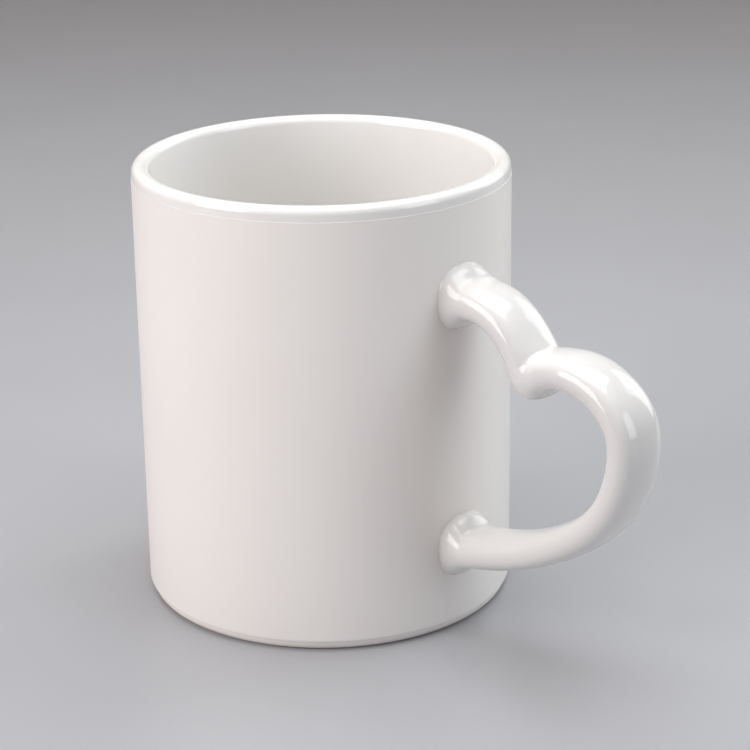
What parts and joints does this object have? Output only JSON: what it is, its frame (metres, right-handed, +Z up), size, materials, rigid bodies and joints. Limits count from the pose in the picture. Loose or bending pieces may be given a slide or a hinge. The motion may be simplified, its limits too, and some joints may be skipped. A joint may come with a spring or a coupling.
{
  "type": "coffee mug",
  "caption": "Straight-sided glazed ceramic mug with a half-heart handle, a satin print coating on the wall and a bare foot ring.",
  "frame": {"origin": "centre of the foot ring's resting face, on the cup's axis", "axes": "+Z up along the cup's axis, out of its mouth; +X towards the handle"},
  "size_m": [0.1309, 0.082, 0.098],
  "materials": {
    "stoneware": "bare fired stoneware",
    "slip": "fired luting slip",
    "glaze": "gloss",
    "inside_glaze": "gloss",
    "handle_glaze": "gloss",
    "print_coating": "satin"
  },
  "bodies": {
    "root": {"cup_body": "stoneware", "handle": "stoneware", "upper_joint_slip": "slip", "lower_joint_slip": "slip", "inside_glaze": "inside_glaze", "rim_glaze": "glaze", "outside_glaze": "glaze", "handle_glaze": "handle_glaze", "base_glaze": "glaze", "print_coating": "print_coating"}
  },
  "joints": []
}
